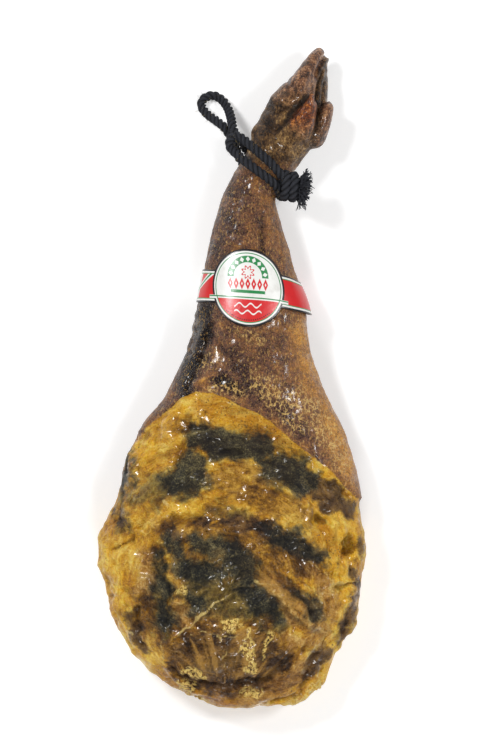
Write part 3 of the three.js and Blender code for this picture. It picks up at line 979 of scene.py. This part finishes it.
def wandering(points):
    """The points' places in the plan, pushed about a little so that strokes drawn there wander."""
    aside = np.stack([noise(points / 13, seed) for seed in (41, 42)], axis=1)
    finely = np.stack([noise(points / 5, seed) for seed in (43, 44)], axis=1)
    return points[:, :2] + 4.5 * aside + 1.8 * finely


def ham_fields(points, normals):
    """For each point of the ham, how far it is inside each finish, in millimetres, with its layers,
    its muscle streaks and its skin's tone. The finishes that are brushed on from above stay off the
    underside, which is amber fat where it isn't skin."""
    plan = wandering(points)
    upward = smooth(-0.55, -0.05, normals[:, 2])
    away = -40 * (1 - upward)
    reach = np.linalg.norm((plan - PAD_MIDDLE) / PAD_REACH, axis=1)
    brushed = {
        "meat": MEAT, "mould": MOULD, "olive": OLIVE, "umber": UMBER, "tan": TAN,
        "pale": PALE, "flakes": FLAKES, "pits": PITS, "curls": CURLS,
    }
    fields = {name: strokes(plan, routes) + away for name, routes in brushed.items()}
    fields |= {
        "skin": skin_inside(points, normals),
        "amber": np.maximum(strokes(plan, AMBER), 26 * (1 - upward) - 8),
        "pad": (1 - reach) * min(PAD_REACH) + away,
        "layer": face_layers(points),
        "streak": muscle_streaks(points) * upward,
        "tone": skin_tone(points[:, :2], upward),
    }
    return fields | claw_fields(points)


def formed(plan, forms):
    """Rounded ridges and grooves along routes. Each is a bell curve: its height times the
    exponential of minus the square of the distance from its route over its width."""
    total = np.zeros(len(plan))
    for height, width, route in forms:
        away = np.minimum(stroke(plan, [(x, y, 0) for x, y in route]), 0)
        total += height * np.exp(-((away / width) ** 2))
    return total


def under_sash(points, normals):
    """1 where the paper sash covers the skin, fading to 0 just outside it."""
    aside = points[:, 0] - MEDAL_X
    off = points[:, 1] - SASH_Y - SASH_SLOPE * aside
    medal = np.hypot(aside / MEDAL_HALF_LENGTH, off / MEDAL_HALF_HEIGHT)
    band = smooth(SASH_HALF_HEIGHT + 6, SASH_HALF_HEIGHT + 0.5, np.abs(off))
    front = smooth(1.16, 1.0, medal) * smooth(-0.2, 0.2, normals[:, 2])
    return np.maximum(band, front)


def ham_relief(points, normals, fields):
    """How far each point of the ham stands out, in millimetres: in broad soft lumps, and in detail,
    which is folds and torn layers in the cut face, wrinkles in the skin, hide and horn, the creases
    of the foot, and the ridges and grooves of the tables. Under the sash the skin lies smooth."""
    plan = points[:, :2]
    wander = wandering(points)
    upward = smooth(-0.3, 0.25, normals[:, 2])
    on_skin = smooth(-2, 2, fields["skin"])
    foot = smooth(FOOT_START, FOOT_START + 14, points[:, 1])
    horn = smooth(-1, 2, fields["horn"])
    fat = 1 - on_skin
    shank = on_skin * (1 - foot)
    hide = foot * (1 - horn)
    dark = smooth(0.34, 0.16, fields["tone"])
    lip = smooth(-0.5, 2.5, fields["skin"]) * smooth(40, 4, fields["skin"])
    facing = 0.4 + 0.6 * smooth(-0.1, 0.6, normals[:, 2])
    broad = fat * (2.6 * noise(points / 42, 1) + 2.4 * facing * noise(points / 19, 2))
    detail = fat * facing * (3.4 * np.abs(noise(points / (17, 11, 14), 3)) - 0.9 + layers(points, 8, 3, 4))
    detail += shank * (0.5 * layers(points / (5, 30, 5), 1, 2, 9) + 0.8 * noise(points / 24, 12) + 1.7 * lip)
    detail += shank * (0.26 * layers(points, 4, 2, 14) + 1.1 * dark * noise(points / (13, 6, 9), 13))
    detail += hide * (0.6 * noise(points / 10, 15) + 0.5 * layers(points, 4.4, 3, 16))
    detail += foot * horn * (0.4 * noise(points / 9, 17) + 0.16 * layers(points, 4, 2, 18))
    detail += upward * (shank * formed(plan, SKIN_FORMS) + hide * formed(plan, FOOT_FORMS))
    detail += upward * foot * horn * formed(plan, CLAW_FORMS) - 1.9 * fields["crease"]
    torn = smooth(-0.05, 0.06, noise(points / (19, 11, 14), 24))
    torn += 0.6 * smooth(-0.05, 0.06, noise(points / 9, 25))
    face = 1.4 * formed(wander, FACE_FORMS) + 3.4 * smooth(0, 24, fields["pad"]) + 0.9 * fields["streak"]
    face += 1.3 * smooth(-6, 6, fields["meat"]) * (torn - 0.8) + 1.3 * fields["layer"]
    face -= 1.5 * smooth(-3, 5, fields["mould"]) + 1.3 * smooth(-2, 4, fields["umber"])
    face += 1.5 * smooth(-4, 4, fields["mould"]) * noise(points / (9, 6, 8), 22)
    face += 2.2 * smooth(-1, 4, fields["flakes"]) * smooth(-0.1, 0.5, noise(points / 4, 23))
    detail += face * upward * fat
    covered = under_sash(points, normals)
    return broad * (1 - covered), detail * (1 - covered) - 0.2 * covered


def ham(material):
    """The whole ham as one skin, folded and creased, with its fields stored for its material."""
    claws = [ribbed_shell(ribs, 60, 60) for ribs in (NEAR_CLAW, FAR_CLAW, NEAR_DEWCLAW, FAR_DEWCLAW)]
    mesh = grown_together([ribbed_shell(BODY_RIBS, 300, 220, BODY_SQUARENESS), *claws], SKIN_VOXEL)
    mesh.name = "ham"
    points = points_of(mesh) / MM
    normals = points_of(mesh, "vertex_normals", "vector")
    fields = ham_fields(points, normals)
    broad, detail = ham_relief(points, normals, fields)
    moved = points + normals * (broad + detail)[:, None]
    moved[:, 2] = np.maximum(moved[:, 2], 0)
    mesh.vertices.foreach_set("co", (moved * MM).ravel())
    mesh.update()
    for name, values in fields.items():
        add_field(mesh, name, values)
    add_field(mesh, "relief", detail)
    return piece("cured_ham", mesh, material, "cured_ham", "ham")


# ---------------------------------------------------------------- the ham's finish


def round_the_middle(maker, place):
    """Places drawn out round the middle of the cut face, so that noise read there runs in arcs."""
    shift = (-FACE_MIDDLE[0] * MM, -FACE_MIDDLE[1] * MM, 0)
    flat = maker.node("VectorMath", {"operation": "MULTIPLY_ADD"}, {0: place, 1: (1, 1, 0), 2: shift})
    reach = maker.node("VectorMath", {"operation": "LENGTH"}, {0: flat}, "Value")
    way = maker.node("VectorMath", {"operation": "NORMALIZE"}, {0: flat})
    around = maker.node("VectorMath", {"operation": "SCALE"}, {0: way, "Scale": LAYER_TURN * MM})
    out = maker.node("CombineXYZ", {}, {"Z": reach})
    return maker.node("VectorMath", {"operation": "ADD"}, {0: around, 1: out})


def cut_face_colour(maker, place, mottle, middling, fine, fibres, ragged):
    """The cut face: golden fat, dried meat, stains, dark mould and pale flakes, each inside its own
    field, with edges that the ragged noise breaks up. Gives the colour, where the mould is and
    where the flakes are."""

    def inside(name, soft, wobble=1.0, push=0.0):
        """How much of a finish there is: a soft step over the edge of its field."""
        return maker.step(-soft, soft, maker.field(name) + ragged * wobble + push)

    mottle = mottle + maker.field("layer") * 0.045 + (fibres - 0.5) * 0.3
    colour = maker.ramp(
        mottle * 0.66 + 0.185,
        (0.4, 122, 72, 12), (0.47, 186, 126, 24), (0.53, 212, 158, 40), (0.6, 238, 202, 96),
    )
    amber = maker.ramp(mottle * 0.7 + 0.165, (0.4, 184, 120, 12), (0.5, 228, 170, 32), (0.6, 246, 212, 96))
    colour = maker.blend(inside("amber", 6, 0.6) * 0.85, colour, amber)
    meat = maker.ramp(
        mottle,
        (0.4, 62, 38, 14), (0.47, 108, 70, 20), (0.53, 148, 100, 26), (0.6, 190, 140, 48),
    )
    colour = maker.blend(inside("meat", 5, 0.8) * 0.9, colour, meat)
    olive = maker.ramp(middling, (0.4, 50, 48, 28), (0.5, 88, 80, 42), (0.62, 134, 118, 60))
    colour = maker.blend(inside("olive", 7, 0.8) * 0.75, colour, olive)
    halo = maker.step(-11, 2, maker.field("mould") + ragged)
    colour = maker.blend(halo * 0.6, colour, maker.ramp(mottle, (0.42, 44, 38, 20), (0.6, 128, 108, 52)))
    umber = maker.ramp(mottle, (0.42, 34, 22, 16), (0.5, 74, 48, 28), (0.58, 116, 80, 42))
    colour = maker.blend(inside("umber", 4, 0.8) * 0.88, colour, umber)
    pad = maker.ramp(mottle, (0.42, 54, 34, 16), (0.5, 100, 68, 28), (0.58, 144, 104, 46))
    colour = maker.blend(inside("pad", 5, 0.8) * 0.9, colour, pad)
    tan = maker.ramp(mottle, (0.4, 116, 74, 26), (0.5, 176, 126, 54), (0.6, 214, 174, 102))
    colour = maker.blend(inside("tan", 4, 0.6) * 0.85, colour, tan)
    # the grain of the meat, then the mould over it
    streak = maker.field("streak")
    colour = maker.blend(maker.step(0.1, 0.6, streak) * 0.5, colour, paint(190, 142, 66))
    colour = maker.blend(maker.step(-0.1, -0.6, streak) * 0.6, colour, paint(46, 28, 16))
    mouldy = maker.step(-6.5, 3.5, maker.field("mould") + ragged * 0.75)
    speck = mottle * 0.56 + fine * 0.44
    mould = maker.ramp(
        speck,
        (0.42, 12, 13, 12), (0.48, 34, 35, 29), (0.54, 64, 62, 46), (0.62, 118, 108, 74),
    )
    colour = maker.blend(mouldy * 0.92, colour, mould)
    # a dried pale film in places, pale threads, pits in the fat, and flakes
    film = maker.step(0.58, 0.72, maker.grain(maker.scaled(place, (1, 1.7, 1)), 9, 5, 0.7, 1.2))
    colour = maker.blend(film * 0.22, colour, paint(214, 190, 128))
    colour = maker.blend(inside("pale", 0.6, 0.13) * 0.7, colour, paint(226, 196, 118))
    colour = maker.blend(inside("pits", 6, 0.5) * 0.6, colour, paint(206, 178, 150), "MULTIPLY")
    pits = maker.step(0.34, 0.16, maker.cells(place, 3.2)) * inside("pits", 5, 0.5)
    colour = maker.blend(pits * 0.7, colour, paint(92, 56, 16))
    flaked = inside("flakes", 1.2, 0.2) * maker.step(0.45, 0.48, maker.grain(place, 3.2, 2, 0.6))
    flake = maker.ramp(fine, (0.36, 176, 124, 44), (0.46, 242, 208, 116))
    colour = maker.blend(flaked * 0.92, colour, flake)
    return colour, mouldy, flaked


def skin_colour(maker, place, middling, fine):
    """The skin: brown by its tone, speckled dark, flecked with gold, with pale curled hairs, which
    are broken lengths of the edges of bent cells. Gives the colour, where the hairs are, and how
    dark the tone is."""
    tone = maker.field("tone") + (maker.grain(place, 19, 5, 0.7) - 0.5) * 1.25 + (fine - 0.5) * 0.9
    brown = maker.ramp(
        tone,
        (0.0, 20, 13, 15), (0.24, 60, 39, 35), (0.42, 108, 74, 58), (0.62, 150, 101, 60), (1.0, 214, 150, 60),
    )
    speckle = maker.step(0.53, 0.6, maker.grain(place, 2.6, 4, 0.7))
    brown = maker.blend(speckle * 0.42, brown, paint(36, 25, 20))
    fleck = maker.step(0.57, 0.62, maker.grain(maker.scaled(place, (1, 0.45, 1)), 1.7, 3, 0.6, 0.4))
    brown = maker.blend(fleck * 0.5, brown, paint(214, 170, 96))
    bent = maker.shifted(place, maker.grain(place, 3.5, 2, 0.5, out="Color"), 3.2)
    edges = maker.cells(maker.scaled(bent, (1, 0.62, 1)), 4.6, "DISTANCE_TO_EDGE")
    thread = maker.step(0.13, 0.04, edges) * maker.step(0.42, 0.5, maker.grain(place, 4, 2))
    curls = thread * maker.step(-5, 3, maker.field("curls") + (middling - 0.5) * 30)
    brown = maker.blend(curls * 0.9, brown, paint(222, 182, 110))
    return brown, curls, maker.step(0.5, 0.1, tone)


def foot_colour(maker, place, colour, mottle, fine):
    """The foot over the skin: mottled brown hide, brown horn on the claws, with one dark claw and
    one amber dewclaw, and painted shade in the creases. Gives the colour and where the foot is."""
    high = maker.node("SeparateXYZ", {}, {"Vector": place}, "Y")
    foot = maker.step((FOOT_START - 4) * MM, (FOOT_START + 8) * MM, high)
    hide = maker.ramp(
        mottle * 0.7 + maker.grain(maker.scaled(place, (1, 0.6, 1)), 2.2, 3, 0.65) * 0.3,
        (0.42, 26, 18, 12), (0.48, 70, 48, 28), (0.54, 120, 88, 51), (0.6, 184, 147, 90),
    )
    colour = maker.blend(foot, colour, hide)
    grown = maker.grain(maker.scaled(place, (1, 0.5, 1)), 5, 4, 0.65) * 0.6 + fine * 0.4
    horn = maker.ramp(grown, (0.42, 50, 30, 20), (0.5, 122, 76, 48), (0.58, 190, 140, 98))
    colour = maker.blend(maker.step(-2, 12, maker.field("horn") + (mottle - 0.5) * 40) * 0.92, colour, horn)
    dark = maker.ramp(grown, (0.42, 30, 20, 13), (0.5, 84, 58, 34), (0.58, 150, 112, 66))
    colour = maker.blend(maker.step(-0.5, 3, maker.field("dark_horn")), colour, dark)
    amber = maker.ramp(grown, (0.42, 52, 24, 12), (0.5, 132, 62, 20), (0.58, 196, 120, 48))
    tip = maker.step(0.238, 0.256, high + (mottle - 0.5) * 0.06)
    tip = tip * maker.step(-0.5, 3, maker.field("amber_horn") + (mottle - 0.5) * 20)
    colour = maker.blend(tip, colour, amber)
    # painted shade in the creases between the claws and along the edge of the pad
    return maker.blend(maker.field("crease") * 0.85, colour, paint(22, 15, 12)), foot


def ham_material():
    """Glossy cut face, brown cured skin and horn, each with its own grain and shine."""
    maker = Maker("cured_ham")
    place = maker.place()
    bent = maker.shifted(place, maker.grain(place, 18, 2, 0.5, out="Color"), 6)
    fine = maker.grain(place, 1.5, 3, 0.65)
    middling = maker.grain(bent, 6, 4, 0.65)
    mottle = maker.grain(bent, 26, 4, 0.6) * 0.48 + middling * 0.3 + fine * 0.22
    ragged = (maker.grain(place, 15, 5, 0.68) - 0.5) * 44 + (fine - 0.5) * 5
    fibres = maker.grain(round_the_middle(maker, bent), 2.8, 3, 0.62)
    face, mouldy, flaked = cut_face_colour(maker, place, mottle, middling, fine, fibres, ragged)
    brown, curls, dark = skin_colour(maker, place, middling, fine)
    on_skin = maker.step(-0.6, 0.6, maker.field("skin") + ragged * 0.1)
    colour = maker.blend(on_skin, face, brown)
    colour, foot = foot_colour(maker, place, colour, mottle, fine)
    # a crisp grain over all, painted shade in the hollows, painted light on the crests of the cut face, and a
    # few pits
    crisp = maker.ramp(maker.grain(bent, 2.8, 3, 0.6), (0.36, 0, 0, 0), (0.64, 255, 255, 255))
    colour = maker.blend(mouldy * 0.2 + on_skin * 0.16 + 0.14, colour, crisp, "OVERLAY")
    # painted shade: the colour is darkened where the relief sinks
    painted_hollow_shade = maker.step(0.2, -2.6, maker.field("relief") + (middling - 0.5) * 2)
    colour = maker.blend(painted_hollow_shade * 0.55, colour, paint(96, 66, 44), "MULTIPLY")
    # painted light: the cut face is paler where the relief stands out
    painted_crest_light = maker.step(0.8, 3.6, maker.field("relief") + (fine - 0.5) * 2) * (1 - on_skin)
    colour = maker.blend(painted_crest_light * 0.4, colour, paint(112, 84, 34), "SCREEN")
    pitted = maker.step(0.13, 0.06, maker.cells(place, 8)) * maker.step(0.5, 0.58, middling)
    colour = maker.blend(pitted * 0.85, colour, paint(30, 20, 14))
    rough = 0.34 + (fine - 0.5) * 0.5 + mouldy * 0.24 + on_skin * 0.06 - on_skin * dark * 0.16
    horny = maker.step(0, 4, maker.field("horn"))
    # a greasy gloss in broad patches, broken up by the middling grain, and on the horn
    broken = maker.step(0.44, 0.56, middling)
    wet = maker.step(0.46, 0.6, maker.grain(place, 22, 2)) * broken
    gloss = wet * (0.95 - mouldy * 0.55 - on_skin * 0.4 - foot * 0.2) + horny * broken * 0.5
    leather = maker.grain(place, 3, 3, 0.6) * on_skin
    rings = maker.grain(maker.scaled(place, (0.3, 1, 0.3)), 2.4, 2) * horny
    height = middling * (3.4 - on_skin * 2) + fine * 2.1 + fibres * (1 - on_skin) * 3.2 + leather * 2.6
    height += rings * 1.6 + mouldy * fine * 0.5 + flaked * 0.4 + curls * 0.25 - pitted * 0.4
    return maker.finish(
        Base_Color=colour,
        Roughness=rough,
        Normal=maker.bump(height),
        Coat_Weight=gloss,
        Coat_Roughness=0.14,
        Specular_IOR_Level=0.4,
    )


# ---------------------------------------------------------------- the paper sash


def paper_material():
    """Satin printed paper. The pattern's first number is how far along the paper a place is from
    the middle of the round front, and its second how far up it, both in tenths of a metre. On the
    round front, u and v are the shares of its half length and half height."""
    maker = Maker("printed_paper")
    pattern = maker.node("UVMap", {"uv_map": "pattern"}, {})
    along = maker.node("SeparateXYZ", {}, {"Vector": pattern}, "X") * 100
    up = maker.node("SeparateXYZ", {}, {"Vector": pattern}, "Y") * 100
    white, black = paint(226, 226, 222), paint(24, 22, 26)
    green, red = paint(26, 126, 66), paint(204, 26, 30)

    def below(limit, value, soft):
        """1 where a value is below a limit, with a soft edge for the print."""
        return maker.step(limit + soft, limit - soft, value)

    # the band: red, with green, white and black lines along both edges and a slanted stripe
    edge = abs(up)
    inner = below(11.8, edge, 0.1)
    band = maker.blend(inner, green, red)
    band = maker.blend(below(12.7, edge, 0.1), white, band)
    band = maker.blend(below(14.4, edge, 0.1), black, band)
    slant = (along - up * 1.4 + 53) / 1.8
    band = maker.blend(below(-54, along, 0.1) * inner, band, white)
    band = maker.blend(below(2.2, abs(slant), 0.1) * inner, band, white)
    band = maker.blend(below(0.8, abs(slant), 0.1) * inner, band, green)
    # the round front: a white field over a red one, inside three rings
    u, v = along / MEDAL_HALF_LENGTH, up / MEDAL_HALF_HEIGHT
    reach = (u * u + v * v) ** 0.5
    front = maker.blend(below(-0.3, v, 0.005), white, red)
    # an arch of pale leaves on green, with a small flower under it
    arch_v = v - 0.28
    arch = (u * u + arch_v * arch_v) ** 0.5
    turn = arch_v.math("ARCTAN2", u)
    leaf = abs((turn * (9 / math.pi)).math("FRACT") - 0.5) * 2.6 + abs(arch - 0.46) * 13
    arched = below(0.085, abs(arch - 0.46), 0.006) * maker.step(-0.02, 0.0, arch_v)
    front = maker.blend(arched, front, green)
    front = maker.blend(arched * below(0.9, leaf, 0.06), front, white)
    petal_v = v - 0.4
    petal = (u * u + petal_v * petal_v) ** 0.5
    waves = (petal_v.math("ARCTAN2", u) * 8).math("COSINE") * 0.035
    front = maker.blend(below(0.02, abs(petal + waves - 0.13), 0.005), front, red)
    # a frieze of red lozenges, and a green bar
    lozenge = abs((u * 6.4 + 0.5).math("FRACT") - 0.5) * 2.3 + abs(v - 0.1) * 6.4
    frieze = below(0.55, abs(u), 0.005)
    front = maker.blend(below(1.0, lozenge, 0.05) * frieze, front, red)
    front = maker.blend(below(0.3, lozenge, 0.05) * frieze, front, white)
    bar = (abs(u) / 0.46).math("MAXIMUM", abs(v + 0.1) / 0.04)
    front = maker.blend(below(1.0, bar, 0.03), front, green)
    # two white flourishes on the red field, with a row of dark dots below them
    for height, swing, phase in ((-0.45, 0.05, 0.0), (-0.63, 0.045, 1.7)):
        line = abs(v - height - (u * 21 + phase).math("SINE") * swing)
        front = maker.blend(below(0.02, line, 0.006) * below(0.36, abs(u), 0.006), front, white)
    dots = abs((v.math("ARCTAN2", u) * 14).math("FRACT") - 0.5) + abs(reach - 0.83) * 16
    front = maker.blend(below(0.34, dots, 0.04) * below(-0.6, v, 0.005), front, black)
    # the three rings, and the band beyond them
    for radius, ring in ((0.88, green), (0.905, white), (0.945, black), (1.0, band)):
        front = maker.blend(below(radius, reach, 0.004), ring, front)
    # the line between the two fields, which runs on a little past the round front's edge
    line = below(1.1, abs(u), 0.01)
    past = line * maker.step(0.9, 0.92, reach)
    colour = maker.blend(past * below(0.045, abs(v + 0.27), 0.005), front, white)
    colour = maker.blend(line * below(0.016, abs(v + 0.25), 0.005), colour, green)
    colour = maker.blend(maker.field("inside"), colour, paint(176, 174, 168))
    worn = maker.grain(maker.place(), 9, 4, 0.6)
    colour = maker.blend(maker.step(0.5, 0.75, worn) * 0.2, colour, paint(150, 140, 120), "MULTIPLY")
    return maker.finish(
        Base_Color=colour,
        Roughness=0.34,
        Coat_Weight=0.25,
        Coat_Roughness=0.2,
        Normal=maker.bump(worn * 0.4),
    )


def paper_sash(material):
    """The sash: one strip of paper, wrapped once round the shank, with its ends lapped underneath.
    Its half height is the band's, or where that is taller the round front's, which is its half
    height times the square root of 1 less the square of the share of its half length. Near the
    round front the columns run straight down the shank, so that it stays round on a taper."""
    rows, columns = 46, 480
    lap = 0.13  # how far each end runs on past the middle of the underside, as an angle
    thickness, clearance = 0.35, 1.2
    left, right = rib_curves(BODY_RIBS, np.linspace(0.45, 0.68, 500))
    heights = (left[:, 1] + right[:, 1]) / 2

    def on_shank(y, angle):
        """The point of the shank at a height and an angle round it, and the way out from there."""
        first, second = (
            np.stack([np.interp(y, heights, side[:, k]) for k in range(3)], axis=-1)
            for side in (left, right)
        )
        point = round_ribs(first, second, angle, BODY_SQUARENESS)
        out = (point - (first + second) / 2) * (1, 0, 1)
        return point, out / np.linalg.norm(out, axis=-1, keepdims=True)

    angle = np.linspace(-0.5 * math.pi - lap, 1.5 * math.pi + lap, columns)
    middle = on_shank(np.full(columns, SASH_Y), angle)[0]
    run = np.concatenate([[0], np.cumsum(np.linalg.norm(np.diff(middle, axis=0), axis=1))])
    top = (angle > 0.2) & (angle < math.pi - 0.2)
    along = np.interp(-MEDAL_X, -middle[top, 0], run[top]) - run
    medal = MEDAL_HALF_HEIGHT * np.sqrt(np.maximum(0, 1 - (along / MEDAL_HALF_LENGTH) ** 2))
    half = np.maximum(SASH_HALF_HEIGHT, medal)
    level = np.linspace(-1, 1, rows)[:, None]
    up = half * level
    droop = 6 * np.maximum(0, np.cos(angle)) ** 3
    y = SASH_Y + SASH_SLOPE * (middle[:, 0] - MEDAL_X) - droop + up
    ends = [np.interp(y, heights, side[:, 0]) for side in (left, right)]
    share = np.clip((2 * middle[:, 0] - ends[0] - ends[1]) / (ends[1] - ends[0]), -0.97, 0.97)
    upright = np.arccos(np.sign(share) * np.abs(share) ** (BODY_SQUARENESS / 2))
    near = smooth(56, 36, np.abs(along))
    angles = angle * (1 - near) + upright * near
    point, out = on_shank(y, angles)
    flare = np.maximum(0, np.cos(angles)) ** 4 * (1 - level) / 2 * 4.6
    lifted = 0.7 * smooth(1.5 * math.pi - lap - 0.1, 1.5 * math.pi - lap, angles)
    creased = 0.3 * noise(point.reshape(-1, 3) / 16, 31).reshape(up.shape)
    off = (clearance + flare + lifted + creased)[..., None]
    outer, inner = point + out * (off + thickness), point + out * off
    mesh_points = np.concatenate([outer, inner[::-1]])
    faces = grid_faces(2 * rows, columns, wrap_rows=True)[:, ::-1].tolist()
    for column, turned in ((0, 1), (columns - 1, -1)):
        for i in range(rows - 1):
            ring = [i, i + 1, 2 * rows - 2 - i, 2 * rows - 1 - i][::turned]
            faces.append([k * columns + column for k in ring])
    pattern = np.stack([np.broadcast_to(along, up.shape), up], axis=-1) / 100
    mesh = mesh_of("paper_sash", mesh_points, faces)
    add_uv(mesh, np.concatenate([pattern, pattern[::-1]]).reshape(-1, 2))
    add_field(mesh, "inside", np.repeat([0.0, 1.0], rows * columns))
    return piece("printed_sash", mesh, material, "printed_paper", "paper_sash")


# ---------------------------------------------------------------- the making


add_camera()
add_studio()
rope()
ham(ham_material())
paper_sash(paper_material())
